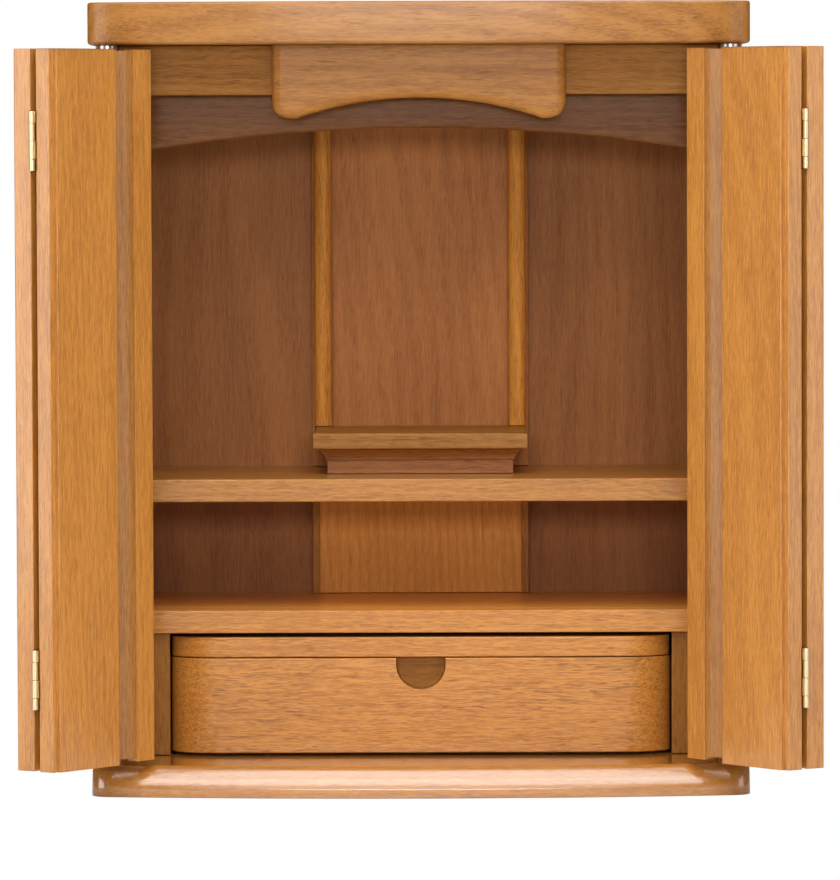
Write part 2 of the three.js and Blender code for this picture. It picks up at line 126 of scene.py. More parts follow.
def studio():
    """Wide lights above, beside and in front, a dim surround, and a white floor that throws light up."""
    middle = (0, 0, 0.27)
    softbox("overhead", (0, -0.95, 2.2), (0, -0.95, 0), (3.0, 1.8), 3.4)
    softbox("left", (-2.1, -1.05, 0.55), middle, (1.3, 1.7), 3.1)
    softbox("right", (2.1, -1.05, 0.55), middle, (1.3, 1.7), 1.6)
    softbox("front low", (0, -4.4, 0.85), middle, (1.6, 0.4), 22)
    softbox("slant", (0, -2.7, 2.5), middle, (3.0, 1.2), 4.0)
    softbox("front", (0, -3.9, 1.9), middle, (2.4, 1.0), 1.7)
    world = bpy.data.worlds.new("surround")
    bpy.context.scene.world = world
    world.use_nodes = True
    tree = world.node_tree
    tree.nodes["Background"].inputs["Color"].default_value = (1, 1, 1, 1)
    tree.nodes["Background"].inputs["Strength"].default_value = 0.06
    white_to_camera(tree, tree.nodes["Background"].outputs[0], tree.nodes["World Output"].inputs["Surface"])
    bpy.ops.mesh.primitive_plane_add(size=30, location=(0, 0, cad_box[0][2]))
    floor = bpy.context.object
    floor.name = "floor"
    material = Finish("floor_paint").surface(color=(0.8, 0.8, 0.8, 1), roughness=0.7)
    tree = material.node_tree
    output = next(node for node in tree.nodes if node.type == "OUTPUT_MATERIAL")
    white_to_camera(tree, output.inputs["Surface"].links[0].from_socket, output.inputs["Surface"])
    floor.data.materials.append(material)
    bpy.context.scene.view_settings.view_transform = "Standard"


# ---- Shader arithmetic --------------------------------------------------------------------
class Value:
    """A shader socket that takes part in ordinary arithmetic; every operation adds one Math node."""

    def __init__(self, finish, socket):
        self.finish = finish
        self.socket = socket

    def math(self, operation, *values):
        return self.finish.node("ShaderNodeMath", {"operation": operation}, dict(enumerate(values)))

    def __add__(self, other):
        return self.math("ADD", self, other)

    def __sub__(self, other):
        return self.math("SUBTRACT", self, other)

    def __rsub__(self, other):
        return self.math("SUBTRACT", other, self)

    def __mul__(self, other):
        return self.math("MULTIPLY", self, other)

    __radd__ = __add__
    __rmul__ = __mul__

    def power(self, exponent):
        return self.math("POWER", self, exponent)

    def sine(self):
        return self.math("SINE", self)

    def between(self, low, high):
        """0 below low, 1 above high, and a smooth step in between."""
        settings = {"interpolation_type": "SMOOTHSTEP"}
        inputs = {"Value": self, "From Min": low, "From Max": high}
        return self.finish.node("ShaderNodeMapRange", settings, inputs)


class Finish:
    """One material while it is built: node() adds any node, surface() closes it with its shader."""

    def __init__(self, name):
        self.material = bpy.data.materials.new(name)
        self.material.use_nodes = True
        self.tree = self.material.node_tree
        self.tree.nodes.clear()

    def node(self, kind, settings=None, inputs=None, output=0):
        node = self.tree.nodes.new(kind)
        for key, value in (settings or {}).items():
            setattr(node, key, value)
        for key, value in (inputs or {}).items():
            if isinstance(value, Value):
                self.tree.links.new(value.socket, node.inputs[key])
            else:
                node.inputs[key].default_value = value
        return Value(self, node.outputs[output]) if node.outputs else None

    def mix(self, factor, first, second):
        """Two colours mixed by a factor."""
        return self.node("ShaderNodeMix", {"data_type": "RGBA"}, {0: factor, 6: first, 7: second}, output=2)

    def place(self, along, shift=(0, 0, 0)):
        """Object coordinates in metres, moved by shift and ordered so that the first runs along the grain."""
        coords = self.node("ShaderNodeTexCoord", output=3)
        settings = {"vector_type": "POINT"}
        moved = self.node("ShaderNodeMapping", settings, {"Vector": coords, "Location": shift})
        split = self.node("ShaderNodeSeparateXYZ", None, {"Vector": moved})
        x, y, z = (Value(self, output) for output in split.socket.node.outputs)
        return {"X": (x, y, z), "Y": (y, z, x), "Z": (z, x, y)}[along]

    def noise(self, point, per_metre, detail=2.0, roughness=0.5):
        """Noise from 0 to 1, with so many features a metre along each of the three coordinates."""
        scaled = [value * rate for value, rate in zip(point, per_metre)]
        vector = self.node("ShaderNodeCombineXYZ", None, dict(enumerate(scaled)))
        inputs = {"Vector": vector, "Scale": 1.0, "Detail": detail, "Roughness": roughness}
        return self.node("ShaderNodeTexNoise", {"noise_dimensions": "3D"}, inputs)

    def surface(self, color, roughness, normal=None, coat=0.0, coat_roughness=0.1, metallic=0.0,
                specular=0.5):
        """The Principled shader. color, roughness and normal may be linked; the rest are plain values."""
        inputs = {
            "Base Color": color,
            "Roughness": roughness,
            "Metallic": metallic,
            "Specular IOR Level": specular,
            "Coat Weight": coat,
            "Coat Roughness": coat_roughness,
        }
        if normal is not None:
            inputs["Normal"] = normal
        shader = self.node("ShaderNodeBsdfPrincipled", None, inputs)
        self.node("ShaderNodeOutputMaterial", None, {"Surface": shader})
        return self.material


def tone(red, green, blue):
    """A linear colour from display values of 0 to 255."""
    def linear(level):
        level /= 255
        return level / 12.92 if level <= 0.04045 else ((level + 0.055) / 1.055) ** 2.4
    return (linear(red), linear(green), linear(blue), 1.0)


def wood(name, along, light, dark, pore, figure=0.15, rings=170, heart=(0.25, 0.4), drift=0.03, streaks=1.0,
         pores=0.4, shift=(0, 0, 0), gloss=0.36, coat=0.7, specular=0.5, fine=1.0, tint=1.0):
    """
    Lacquered oak. Growth rings are cylinders about a heart line that leans a little across the board, so
    that a face shows straight lines or arches; over them lie slightly wavy streaks, fine fibres, short dark
    pores and slow changes of tone. light, dark and pore are colours, rings a number a metre, heart the
    line's distance, drift how far it wanders, streaks and pores how strong those are, fine how narrow they
    are; tint brightens or dims all three colours.
    """
    light, dark, pore = ([tint * level for level in color[:3]] + [1.0] for color in (light, dark, pore))
    finish = Finish(name)
    a, b, c = finish.place(along, shift=shift)
    wave = finish.noise((a, b, c), (30, 70, 70), detail=1) * (2.6 * MM)
    b, c = b + wave, c + wave
    wander = finish.noise((a, b, c), (2.2, 7, 7), detail=1.5)
    lean = a * 0.06 + (wander - 0.5) * drift
    across = b + heart[0] + lean
    inward = c + heart[1]
    distance = (across * across + inward * inward).power(0.5)
    ring = (distance * (rings * 2 * math.pi)).sine() * 0.5 + 0.5
    strand = finish.noise((a, b, c), (28, 560 * fine, 560 * fine), detail=3, roughness=0.65)
    fibre = finish.noise((a, b, c), (100, 1300, 1300), detail=2, roughness=0.7)
    cloud = finish.noise((a, b, c), (4, 26, 26), detail=2)
    lines = (strand - 0.5) * streaks + (fibre - 0.5) * (1.5 * streaks)
    shade = (ring - 0.5) * figure + lines + (cloud - 0.5) * 0.7
    body = finish.mix((shade + 0.5).between(0.0, 1.0), light, dark)
    speck = finish.noise((a, b, c), (85, 1150 * fine, 1150 * fine), detail=1)
    crowd = finish.noise((a, b, c), (9, 120, 120), detail=1)
    vessels = (speck + (crowd - 0.5) * 0.3 + (ring - 0.5) * 0.05).between(0.58, 0.72)
    color = finish.mix(vessels * pores, body, pore)
    relief = vessels * -0.5 + fibre * 0.25
    bump = finish.node("ShaderNodeBump", None, {"Strength": 0.15, "Distance": 0.0003, "Height": relief})
    roughness = vessels * 0.1 + (strand - 0.5) * 0.08 + gloss
    return finish.surface(color=color, roughness=roughness, normal=bump, coat=coat, coat_roughness=0.12,
                          specular=specular)


def metal(name, color, roughness, scratches):
    """Bright metal with fine turned or drawn lines, as many a metre as scratches says."""
    finish = Finish(name)
    a, b, c = finish.place("Z")
    lines = finish.noise((a, b, c), scratches, detail=2)
    worn = finish.noise((a, b, c), (180, 180, 180), detail=2)
    tinted = finish.mix((worn - 0.35) * 0.5, color, (color[0] * 0.7, color[1] * 0.62, color[2] * 0.5, 1))
    bump = finish.node("ShaderNodeBump", None, {"Strength": 0.15, "Distance": 0.0002, "Height": lines})
    return finish.surface(color=tinted, roughness=lines * 0.15 + roughness, normal=bump, metallic=1.0)


# ---- Outlines and solids ------------------------------------------------------------------
def ellipse_arc(centre, radii, start, end, count):
    """Points on an ellipse: centre + radii * (cos t, sin t) for t from start to end, in turns."""
    t = np.linspace(start, end, count) * 2 * math.pi
    return np.stack([centre[0] + radii[0] * np.cos(t), centre[1] + radii[1] * np.sin(t)], -1)


def rectangle(low, high, soft=0.0, steps=4):
    """A rectangle as an outline, anticlockwise, with its corners rounded by soft."""
    if not soft:
        return np.array([(low[0], low[1]), (high[0], low[1]), (high[0], high[1]), (low[0], high[1])], float)
    corners = [(low[0] + soft, low[1] + soft, 0.5), (high[0] - soft, low[1] + soft, 0.75),
               (high[0] - soft, high[1] - soft, 0.0), (low[0] + soft, high[1] - soft, 0.25)]
    arcs = [ellipse_arc((x, y), (soft, soft), turn, turn + 0.25, steps) for x, y, turn in corners]
    return np.concatenate(arcs)


def inset(outline, distance):
    """The outline moved inwards: each point goes along the mitre of its two edges' normals."""
    edge = np.roll(outline, -1, 0) - outline
    edge /= np.maximum(np.linalg.norm(edge, axis=1, keepdims=True), 1e-9)
    normal = np.stack([edge[:, 1], -edge[:, 0]], -1)
    before = np.roll(normal, 1, 0)
    mitre = (normal + before) / (1 + np.sum(normal * before, 1, keepdims=True))
    return outline - mitre * distance


def rounded(low, high, radius, steps=4, head_radius=None):
    """A profile of (inset, height) pairs from low to high: a quarter circle, a straight side, a quarter circle."""
    t = np.linspace(0, math.pi / 2, steps)
    quarter = np.stack([1 - np.sin(t), 1 - np.cos(t)], -1)
    foot = quarter * radius + (0, low)
    head = quarter[::-1] * (head_radius or radius) * (1, -1) + (0, high)
    return np.concatenate([foot, head])


def carried(outline, profile):
    """Rings of an outline carried along a profile: ring i is the outline, inset and raised as pair i says."""
    return np.stack([np.column_stack([inset(outline, d), np.full(len(outline), h)]) for d, h in profile])


def facing_front(rings):
    """Rings that were drawn in X and Z and carried along Y."""
    return rings[..., [0, 2, 1]]


def applied(thing):
    """Puts what a thing's modifiers make of it in place of its mesh."""
    shape = thing.evaluated_get(bpy.context.evaluated_depsgraph_get())
    thing.data = bpy.data.meshes.new_from_object(shape)
    thing.modifiers.clear()


def even_normals(thing):
    """Wide faces keep their own direction, and the narrow ones beside them do the turning."""
    weighted = thing.modifiers.new("normals", "WEIGHTED_NORMAL")
    weighted.keep_sharp = True
    applied(thing)


def closed_thing(name, shells, material):
    """
    An object from closed shells of rings (rows, points, 3). Neighbouring rings are joined by four-sided
    faces, the first and last ring are capped, and every face looks outwards.
    """
    points, faces, first = [], [], 0
    for rings in shells:
        rows, count, _ = rings.shape
        a = first + np.arange(rows - 1)[:, None] * count + np.arange(count)[None, :]
        b = first + np.arange(rows - 1)[:, None] * count + (np.arange(count)[None, :] + 1) % count
        faces += np.stack([a, b, b + count, a + count], -1).reshape(-1, 4).tolist()
        last = first + (rows - 1) * count
        faces += [list(range(first, first + count)), list(range(last, last + count))]
        points.append(rings.reshape(-1, 3))
        first += rows * count
    mesh = bpy.data.meshes.new(name)
    mesh.from_pydata(np.concatenate(points), [], faces)
    joined = bmesh.new()
    joined.from_mesh(mesh)
    bmesh.ops.remove_doubles(joined, verts=joined.verts, dist=MERGE)
    bmesh.ops.recalc_face_normals(joined, faces=joined.faces)
    joined.to_mesh(mesh)
    joined.free()
    mesh.materials.append(material)
    thing = bpy.data.objects.new(name, mesh)
    bpy.context.scene.collection.objects.link(thing)
    return thing


def piece(name, shells, material, node):
    """A finished piece from closed shells; it rides on its node's body and stands for the node."""
    thing = closed_thing(name, shells, material)
    thing.data.polygons.foreach_set("use_smooth", np.ones(len(thing.data.polygons), bool))
    thing.data.set_sharp_from_angle(angle=SHARP)
    even_normals(thing)
    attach(thing, body_of_node[node])
    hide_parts(node)
    return thing


def paint_lit_tops(thing, material):
    """Gives the faces that look straight up a material of their own: a brighter copy of the wood, painted light on
    the top faces.
    """
    thing.data.materials.append(material)
    for face in thing.data.polygons:
        if face.normal.z > 0.99:
            face.material_index = 1


def title(node):
    """A node's name as a piece's name: each word with a capital, and no underscores."""
    return node.replace("_", " ").title().replace(" ", "")


def flat_board(node, material, soft=0.8 * MM, round_over=0.8 * MM):
    """A square board that lies flat: its outline carried upwards, with its edges eased."""
    low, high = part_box(node)
    rings = carried(rectangle(low, high, soft), rounded(low.z, high.z, round_over))
    return piece(title(node), [rings], material, node)


def upright_board(node, material, soft=0.8 * MM, round_over=0.8 * MM):
    """A square board that faces the front: its outline carried backwards, with its edges eased."""
    low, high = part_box(node)
    outline = rectangle((low.x, low.z), (high.x, high.z), soft)
    rings = facing_front(carried(outline, rounded(low.y, high.y, round_over)))
    return piece(title(node), [rings], material, node)


# ---- The carcass --------------------------------------------------------------------------
def bowed_plan(low, high, run, back):
    """The plan of the top and the base: square behind, in front one long arc whose ends turn back."""
    half = high.x
    corner_y = low.y + FRONT_BOW
    radius = (half ** 2 + FRONT_BOW ** 2) / (2 * FRONT_BOW)
    x = np.linspace(run - half, half - run, 97)
    front = np.stack([x, low.y + radius - np.sqrt(radius ** 2 - x ** 2)], -1)
    t = np.linspace(0, 1, 17)[1:-1, None]
    edge, tip, start = np.array((half, corner_y + back)), np.array((half, corner_y)), front[-1]
    bend = (1 - t) ** 2 * start + 2 * t * (1 - t) * tip + t ** 2 * edge
    flip = np.array((-1, 1))
    square = [edge, (half, high.y), (-half, high.y), edge * flip]
    return np.concatenate([front, bend, square, (bend * flip)[::-1]])


def make_top():
    """The bowed board on top, its lower front edge rounded a little more than its upper one."""
    low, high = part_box("top_board")
    outline = bowed_plan(low, high, 36 * MM, 15 * MM)
    profile = rounded(low.z, high.z, 2.4 * MM, 7, head_radius=1.8 * MM)
    piece("TopBoard", [carried(outline, profile)], OAK_TOP, "top_board")


def make_base():
    """The base's front is an upright band, then an ovolo that leans back to the flat top."""
    low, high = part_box("base_board")
    outline = bowed_plan(low, high, 13 * MM, 13 * MM)
    at_front = (outline[:, 1] < high.y - 1 * MM).astype(float)
    lean = np.linspace(*BASE_LEAN, 17)
    radius = (high.z - low.z - BASE_BAND) / (math.sin(lean[-1]) - math.sin(lean[0]))
    sweep = radius * (math.cos(lean[0]) - np.cos(lean))
    rise = low.z + BASE_BAND + radius * (np.sin(lean) - math.sin(lean[0]))
    foot_back, foot_up = np.array((1.2, 0.45, 0, 0)) * MM, np.array((0, 0.3, 1.2)) * MM
    head_back, head_up = np.array((-0.3, 0.1, 0.7)) * MM, np.array((-0.35, -0.1, 0)) * MM
    setback = np.concatenate([foot_back, sweep[:-1], sweep[-1] + head_back])
    height = np.concatenate([low.z + foot_up, [low.z + BASE_BAND - 0.5 * MM], rise[:-1], high.z + head_up])
    rings = [np.column_stack([outline[:, 0], outline[:, 1] + at_front * back, np.full(len(outline), z)])
             for back, z in zip(setback, height)]
    piece("BaseBoard", [np.stack(rings)], OAK_BASE, "base_board")


def make_case():
    """Sides, back, shelves, and the walls beside the drawer, each with its stopped groove for the tray."""
    for side in ("left", "right"):
        low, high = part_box(f"side_panel_{side}")
        outline = rectangle(low, high, 1.8 * MM, 6)
        rings = carried(outline, rounded(low.z, high.z, 0.4 * MM))
        piece(f"SidePanel_{side}", [rings], OAK_SIDE, f"side_panel_{side}")
        cheek = upright_board(f"bay_cheek_{side}", OAK_CHEEK_PAINTED_SHADE)
        low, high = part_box(f"bay_cheek_{side}")
        tray_low, tray_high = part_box("tray")
        inner = min(abs(low.x), abs(high.x)) - 2 * MM
        deep = tray_high.x + 0.8 * MM
        near, far = sorted((math.copysign(inner, low.x), math.copysign(deep, low.x)))
        groove = rectangle((near, low.y + 6 * MM), (far, high.y - 6 * MM))
        cut_out(cheek, carried(groove, [(0, tray_low.z - 0.3 * MM), (0, tray_high.z + 0.3 * MM)]))
        upright_board(f"strip_{side}", OAK_STRIP, 0.5 * MM, 0.5 * MM)
    upright_board("back_panel", BACK_VENEER)
    upright_board("centre_panel_upper", CENTRE_VENEER)
    upright_board("centre_panel_lower", LOWER_VENEER_PAINTED_LIGHT)
    flat_board("mid_shelf", OAK_SHELF, 0.9 * MM, 1.0 * MM)
    # The lower shelf's top faces get a brighter copy of its wood: painted light on its top.
    paint_lit_tops(flat_board("lower_shelf", OAK_LOWER_SHELF, 0.9 * MM, 1.0 * MM), LIT_SHELF_TOP)


def turned(node, ease):
    """An upright cylinder in a node's box: a circle carried upwards, its ends eased."""
    low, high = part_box(node)
    centre, radius = (low + high) / 2, (high.x - low.x) / 2
    circle = ellipse_arc((centre.x, centre.y), (radius, radius), 0, 1, 49)[:-1]
    return carried(circle, rounded(low.z, high.z, ease))


def make_pillars():
    for side in ("left", "right"):
        piece(f"Pillar_{side}", [turned(f"pillar_{side}", 0.4 * MM)], OAK_PILLAR, f"pillar_{side}")


def make_pedestal():
    """A flat board on a plinth: an upright foot, a small step outwards, then a hollow that spreads to the board."""
    flat_board("pedestal_board", OAK_PEDESTAL, 0.8 * MM, 1.5 * MM)
    low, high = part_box("pedestal_plinth")
    spread = 6 * MM
    foot = high.z - low.z
    t = np.linspace(0, 1, 13)
    step = 1.2 * MM
    hollow = (spread - step) * (1 - np.cos(t * math.pi / 2))
    out = np.concatenate([[0.3 * MM, 0, 0, -0.2 * MM, -step], -step - hollow])
    up = np.concatenate([[0, 0.3 * MM, 0.55 * foot, 0.56 * foot, 0.58 * foot], foot * (0.58 + 0.42 * t)])
    half, front = high.x - spread, low.y + spread
    rings = []
    for setback, rise in zip(out, up):
        x, y = half - setback, front + setback
        corners = rectangle((-x, y), (x, high.y), 0.5 * MM, 3)
        rings.append(np.column_stack([corners, np.full(len(corners), low.z + rise)]))
    piece("PedestalPlinth", [np.stack(rings)], OAK_PLINTH, "pedestal_plinth")


def make_header():
    """The rail, the arched board behind it and the plaque before it."""
    upright_board("front_rail", OAK_RAIL)

    low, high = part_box("arch_board")
    round_over = 4 * MM
    x = np.linspace(low.x, high.x, 81)
    arc = ARCH_CROWN - ARCH_RADIUS + np.sqrt(ARCH_RADIUS ** 2 - x ** 2)
    t = np.linspace(0, math.pi / 2, 8)
    lift = np.concatenate([round_over * (1 - np.sin(t)), [0, 0.8 * MM]])
    back = np.concatenate([low.y + round_over * (1 - np.cos(t)), [high.y - 0.8 * MM, high.y]])
    across = np.append(x, (high.x, low.x))
    rings = [np.column_stack([across, np.full(len(across), y), np.append(arc + up, (high.z, high.z))])
             for up, y in zip(lift, back)]
    piece("ArchBoard", [np.stack(rings)], OAK_ARCH_TONE_AND_SHADE, "arch_board")

    low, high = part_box("plaque")
    outline = plaque_outline(low, high)
    is_top = outline[:, 1] > high.z - 1e-6
    t = np.linspace(0, math.pi / 2, 10)
    soft, deep = 6.4 * MM, 5 * MM
    rings = []
    profile = [(soft * (1 - math.sin(a)), low.y + deep * (1 - math.cos(a))) for a in t] + [(0, high.y)]
    for distance, y in profile:
        moved = inset(outline, distance)
        moved[is_top, 1] = high.z
        rings.append(np.column_stack([moved[:, 0], np.full(len(moved), y), moved[:, 1]]))
    piece("Plaque", [np.stack(rings)], OAK_PLAQUE, "plaque")


def plaque_outline(low, high):
    """
    Straight on top; below, two round lobes joined by a shallow arch. The lobes are quadratic curves, and
    the arch is part of a circle.
    """
    half, bottom = high.x, low.z
    waist = bottom + WAIST_RISE
    rise_x, rise_z = LOBE_X - 2 * MM, bottom + 1.2 * MM
    rise = waist - rise_z
    radius = (rise_x ** 2 + rise ** 2) / (2 * rise)

    def bend(start, control, end, count=12):
        t = np.linspace(0, 1, count)[:, None]
        start, control, end = map(np.array, (start, control, end))
        return (1 - t) ** 2 * start + 2 * t * (1 - t) * control + t ** 2 * end

    outer = bend((half, bottom + LOBE_RADIUS + 2 * MM), (half, bottom), (LOBE_X + 2 * MM, bottom))
    turn = bend((LOBE_X + 2 * MM, bottom), (LOBE_X, bottom), (rise_x, rise_z), 7)[1:]
    x = np.linspace(rise_x, 0, 33)[1:]
    arch = np.stack([x, waist - radius + np.sqrt(radius ** 2 - x ** 2)], -1)
    right = np.concatenate([[(half, high.z)], outer, turn, arch])
    left = (right[:-1] * np.array((-1, 1)))[::-1]
    return np.concatenate([right, left])[::-1]


# ---- What slides --------------------------------------------------------------------------
def round_ended_plan(half, front, back):
    """The plan of the tray and of the drawer front: straight, its ends falling back on quarter ellipses."""
    straight = half - END_RUN
    left = ellipse_arc((-straight, front + END_BACK), (END_RUN, END_BACK), 0.5, 0.75, 24)
    right = ellipse_arc((straight, front + END_BACK), (END_RUN, END_BACK), 0.75, 1.0, 24)
    return np.concatenate([left, right, [(half, back), (-half, back)]])


def make_tray():
    """A thin board with rounded front corners, and a tongue at its back that runs in the two grooves."""
    low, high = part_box("tray")
    half = high.x - 5 * MM
    outline = round_ended_plan(half, low.y, high.y)
    tongue = rectangle((low.x, high.y - 35 * MM), (high.x, high.y - 1 * MM), 0.5 * MM)
    shells = [carried(outline, rounded(low.z, high.z, 1 * MM, 5)),
              carried(tongue, rounded(low.z + 1 * MM, high.z - 1 * MM, 0.5 * MM))]
    piece("Tray", shells, OAK_TRAY, "tray")


def make_drawer():
    """The bowed front with a blind half-round finger notch cut in its top edge, and the plain box behind."""
    low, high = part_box("drawer_front")
    plan = round_ended_plan(high.x, low.y, high.y)
    front = piece("DrawerFront", [carried(plan, rounded(low.z, high.z, 1 * MM, 5))], OAK_DRAWER, "drawer_front")
    centre, top = high.z - NOTCH_DEEP + NOTCH_RADIUS, high.z + 2 * MM
    arc = ellipse_arc((0, centre), (NOTCH_RADIUS, NOTCH_RADIUS), 0.5, 1.0, 33)
    outline = np.concatenate([arc, [(NOTCH_RADIUS, top), (-NOTCH_RADIUS, top)]])
    end = low.y + NOTCH_INTO
    profile = [(0, low.y - 2 * MM), (0, end - 2 * MM), (0.6 * MM, end - 0.6 * MM), (2 * MM, end)]
    cut_out(front, facing_front(carried(outline, profile)), OAK_NOTCH)
    for node in ("drawer_side_left", "drawer_side_right", "drawer_back", "drawer_floor"):
        flat_board(node, LINING, 0.4 * MM, 0.6 * MM)


def cut_out(thing, rings, material=None):
    """Takes a closed form of rings out of a piece and eases the new arris; a material finishes the hollow."""
    cutter = closed_thing("cutter", [rings], material or thing.data.materials[0])
    boolean = thing.modifiers.new("notch", "BOOLEAN")
    boolean.object = cutter
    boolean.operation = "DIFFERENCE"
    boolean.solver = "EXACT"
    boolean.material_mode = "TRANSFER"
    bevel = thing.modifiers.new("arris", "BEVEL")
    bevel.width = 0.35 * MM
    bevel.segments = 2
    bevel.limit_method = "ANGLE"
    bevel.angle_limit = math.radians(50)
    applied(thing)
    thing.data.set_sharp_from_angle(angle=SHARP)
    even_normals(thing)
    bpy.data.objects.remove(cutter)


# ---- The folding doors --------------------------------------------------------------------
def door_frame(side, leaf):
    """
    Where a leaf stands at rest: (sign, matrix). Each leaf is drawn shut, as the left one, x running from its
    pivot or pin to the middle of the cabinet; sign mirrors it for the right door, and the matrix opens it.
    """
    sign = 1 if side == "left" else -1
    swing, fold = joints[f"door_{side}_swing"], joints[f"door_{side}_fold"]
    angle = -sign * math.radians(swing["range_deg"][1])
    place = swing["pos_m"]
    if leaf == "inner":
        angle += sign * math.radians(fold["range_deg"][1])
        place = fold["pos_m"]
    return sign, Matrix.Translation(place) @ Matrix.Rotation(angle, 4, "Z")


def stood(rings, sign, matrix):
    """Rings drawn for a shut left leaf, mirrored if need be and opened to the rest pose."""
    mirrored = rings * np.array((sign, 1, 1))
    rotation, shift = np.array(matrix.to_3x3()), np.array(matrix.translation)
    return mirrored @ rotation.T + shift


def leaf_reach():
    """From the pivot to the outer leaf's fold edge, and from there to the pin."""
    end = joints["door_right_fold"]["pos_m"]
    pin = math.hypot(end[0] - joints["door_right_swing"]["pos_m"][0], end[1] - PIVOT_Y)
    return math.sqrt(pin ** 2 - (DOOR_THICK / 2 + PROUD) ** 2) - FOLD_GAP / 2, FOLD_GAP / 2


def outer_leaf_plan():
    """A half-round hinge edge about the pivot, straight faces, a softened fold edge."""
    half, (reach, _) = DOOR_THICK / 2, leaf_reach()
    nose = ellipse_arc((0, 0), (half, half), 0.25, 0.75, 25)
    front = ellipse_arc((reach - 1.4 * MM, -half + 1.4 * MM), (1.4 * MM, 1.4 * MM), 0.75, 1.0, 7)
    back = ellipse_arc((reach - 0.6 * MM, half - 0.6 * MM), (0.6 * MM, 0.6 * MM), 0.0, 0.25, 4)
    return np.concatenate([nose, front, back])


def inner_leaf_shells(low, high, width=108.6):
    """
    The inner leaf's three parts: the panel with a rebate along the fold, the closing strip, and the grooved
    moulding that stops short of the ends. Each section is a list of (distance from the fold edge, height
    over the back face) in millimetres, carried upwards.
    """
    panel = [(0.6, 0), (0.2, 0.2), (0, 0.6), (0, 11.4), (0.1, 11.65), (0.4, 11.85), (0.9, 11.9), (4.8, 11.8),
             (5.0, 11.9), (5.1, 12.1), (5.1, 13.7), (5.2, 14.0), (5.6, 14.2), (64.5, 14.2), (64.85, 14.1),
             (65, 13.8), (65, 0)]
    t = np.linspace(0, 1, 15)
    swell = np.stack([76 + 14 * t, 4 + 3 * np.sin(t * math.pi / 2)], -1)
    band = [(64.7, 0.2), (64.7, 6), (65.9, 4.6), (67.5, 4), *swell.tolist(), (90.6, 7), (90.6, 0.2)]
    strip = [(90, 0), (90, 7.8), (90.12, 8.08), (90.4, 8.2), (width - 1.5, 8.2), (width - 0.7, 7.98),
             (width - 0.2, 7.45), (width, 6.7), (width, 0.5), (width - 0.15, 0.15), (width - 0.5, 0)]
    shells = []
    for section, foot, head, soft in ((panel, 0, 0, 0.5), (strip, 0.4, 0.2, 0.4), (band, 2.5, 0.9, 0.3)):
        section = np.array(section) * MM
        plan = np.stack([section[:, 0] + FOLD_GAP / 2, -PROUD - section[:, 1]], -1)[::-1]
        shells.append(carried(plan, rounded(low.z + foot * MM, high.z - head * MM, soft * MM, 4)))
    return shells


def hinge_half(along, node, segments):
    """One half of a butt hinge about its pin: the sheet, and its own knuckles with the webs that hold them."""
    low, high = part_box(node)
    clear = KNUCKLE + 0.3 * MM
    ends = KNUCKLE_ENDS + low.z
    face = -PROUD - SUNK
    near, far = sorted((along * clear, along * (clear + SHEET_WIDE)))
    shells = [carried(rectangle((near, face), (far, face + SHEET)), rounded(low.z, high.z, 0.2 * MM, 3))]
    circle = ellipse_arc((0, 0), (KNUCKLE, KNUCKLE), 0, 1, 33)[:-1]
    for segment in segments:
        bottom, top = ends[segment] + 0.1 * MM, ends[segment + 1] - 0.1 * MM
        shells.append(carried(circle, rounded(bottom, top, 0.3 * MM, 4)))
        for reach, rise in ((clear + 0.5 * MM, SHEET - 0.05 * MM), (0.7 * KNUCKLE, SHEET + 0.7 * MM)):
            near, far = sorted((along * 0.2 * MM, along * reach))
            web = rectangle((near, face + 0.05 * MM), (far, face + rise))
            shells.append(carried(web, rounded(bottom, top, 0.1 * MM, 2)))
    return shells


def make_door(side):
    """Two leaves, the inner one's moulding, the hinges let into both leaves, and the pivot discs."""
    for leaf in ("outer", "inner"):
        node = f"{leaf}_leaf_{side}"
        low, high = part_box(node)
        sign, matrix = door_frame(side, leaf)
        if leaf == "outer":
            shells = [carried(outer_leaf_plan(), rounded(low.z, high.z, 0.6 * MM, 4))]
            along, segments = -1, (0, 2)
            pin = Matrix.Translation((sign * sum(leaf_reach()), DOOR_THICK / 2 + PROUD, 0))
        else:
            *shells, moulding = inner_leaf_shells(low, high)
            piece(f"Moulding_{side}", [stood(moulding, sign, matrix)], DOOR_MOULDING_PAINTED_SHADE, node)
            along, segments, pin = 1, (1, 3), Matrix.Identity(4)
        shells = [stood(rings, sign, matrix) for rings in shells]
        thing = piece(f"Leaf_{leaf}_{side}", shells, DOOR_VENEER[leaf], node)
        for place in ("upper", "lower"):
            hinge = f"hinge_{place}_{side}_{leaf}"
            shells = [stood(shell, sign, matrix @ pin) for shell in hinge_half(along, hinge, segments)]
            piece(f"Hinge_{place}_{side}_{leaf}", shells, BRASS, hinge)
            cut_bed(thing, sign, matrix @ pin, along, *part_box(hinge))
    for place in ("upper", "lower"):
        node = f"pivot_disc_{place}_{side}"
        piece(f"PivotDisc_{place}_{side}", [turned(node, 0.35 * MM)], STEEL, node)


def cut_bed(leaf, sign, matrix, along, low, high):
    """Lets a hinge's sheet into a leaf's back face."""
    ease = 0.3 * MM
    near, far = sorted((0, along * (KNUCKLE + SHEET_WIDE + 2 * ease)))
    bed = rectangle((near, -PROUD - SUNK - ease), (far, 0))
    cut_out(leaf, stood(carried(bed, [(0, low.z - ease), (0, high.z + ease)]), sign, matrix))


# ---- The finishes -------------------------------------------------------------------------
HONEY, HONEY_DARK, HONEY_PORE = tone(222, 150, 66), tone(186, 118, 44), tone(120, 68, 24)
RED, RED_DARK, RED_PORE = tone(178, 114, 60), tone(142, 86, 42), tone(92, 52, 24)
PALE, PALE_DARK, PALE_PORE = tone(222, 190, 145), tone(200, 165, 118), tone(150, 115, 75)
SATIN = {"coat": 0.0, "gloss": 0.5, "specular": 0.15}
SOFT = {"coat": 0.25, "gloss": 0.4, "specular": 0.35}


